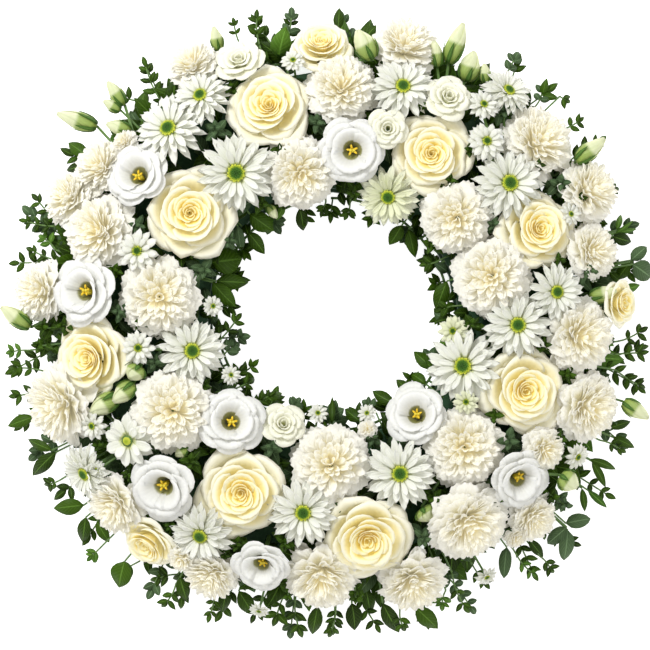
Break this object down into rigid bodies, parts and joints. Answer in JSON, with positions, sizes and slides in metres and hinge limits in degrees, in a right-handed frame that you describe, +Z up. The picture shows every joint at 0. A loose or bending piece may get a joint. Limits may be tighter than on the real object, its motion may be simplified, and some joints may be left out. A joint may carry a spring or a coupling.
{
  "type": "funeral wreath",
  "caption": "Round open funeral wreath of cream roses, white lisianthus, carnations and daisies in a foam ring with leafy twigs.",
  "frame": {"origin": "under the middle of the whole wreath's bounding box, on the tray's flat underside", "axes": "+Z up out of the flowers' faces as the wreath lies flat, +Y towards the top edge of the picture"},
  "size_m": [0.5496, 0.5392, 0.1106],
  "materials": {
    "rose_petals": "soft matte petals, warm ivory, butter yellow between them",
    "carnation_petals": "matte frilled petals, cream white",
    "lisianthus_petals": "satin petals, cool white with an olive throat",
    "daisy_petals": "matte petals, white round a green eye",
    "outer_leaves": "waxy dark green leaves",
    "inner_leaves": "waxy grey-green leaves",
    "foam": "wet dark green flower foam",
    "tray": "matt moulded plastic, dark green"
  },
  "bodies": {
    "root": {"carnation_01": "carnation_petals", "carnation_02": "carnation_petals", "carnation_03": "carnation_petals", "carnation_04": "carnation_petals", "carnation_05": "carnation_petals", "carnation_06": "carnation_petals", "carnation_07": "carnation_petals", "carnation_08": "carnation_petals", "carnation_09": "carnation_petals", "carnation_10": "carnation_petals", "carnation_11": "carnation_petals", "carnation_12": "carnation_petals", "daisy_01": "daisy_petals", "daisy_02": "daisy_petals", "daisy_03": "daisy_petals", "daisy_04": "daisy_petals", "daisy_05": "daisy_petals", "daisy_06": "daisy_petals", "daisy_07": "daisy_petals", "daisy_08": "daisy_petals", "daisy_09": "daisy_petals", "daisy_10": "daisy_petals", "daisy_11": "daisy_petals", "daisy_12": "daisy_petals", "daisy_13": "daisy_petals", "foam_ring": "foam", "greenery_inner_01": "inner_leaves", "greenery_inner_02": "inner_leaves", "greenery_inner_03": "inner_leaves", "greenery_inner_04": "inner_leaves", "greenery_inner_05": "inner_leaves", "greenery_inner_06": "inner_leaves", "greenery_outer_01": "outer_leaves", "greenery_outer_02": "outer_leaves", "greenery_outer_03": "outer_leaves", "greenery_outer_04": "outer_leaves", "greenery_outer_05": "outer_leaves", "lisianthus_01": "lisianthus_petals", "lisianthus_02": "lisianthus_petals", "lisianthus_03": "lisianthus_petals", "lisianthus_04": "lisianthus_petals", "lisianthus_05": "lisianthus_petals", "lisianthus_06": "lisianthus_petals", "lisianthus_07": "lisianthus_petals", "lisianthus_08": "lisianthus_petals", "lisianthus_09": "lisianthus_petals", "lisianthus_10": "lisianthus_petals", "lisianthus_buds": "lisianthus_petals", "rose_01": "rose_petals", "rose_02": "rose_petals", "rose_03": "rose_petals", "rose_04": "rose_petals", "rose_05": "rose_petals", "rose_06": "rose_petals", "rose_07": "rose_petals", "rose_08": "rose_petals", "rose_09": "rose_petals", "rose_10": "rose_petals", "rose_11": "rose_petals", "tray": "tray"}
  },
  "joints": []
}
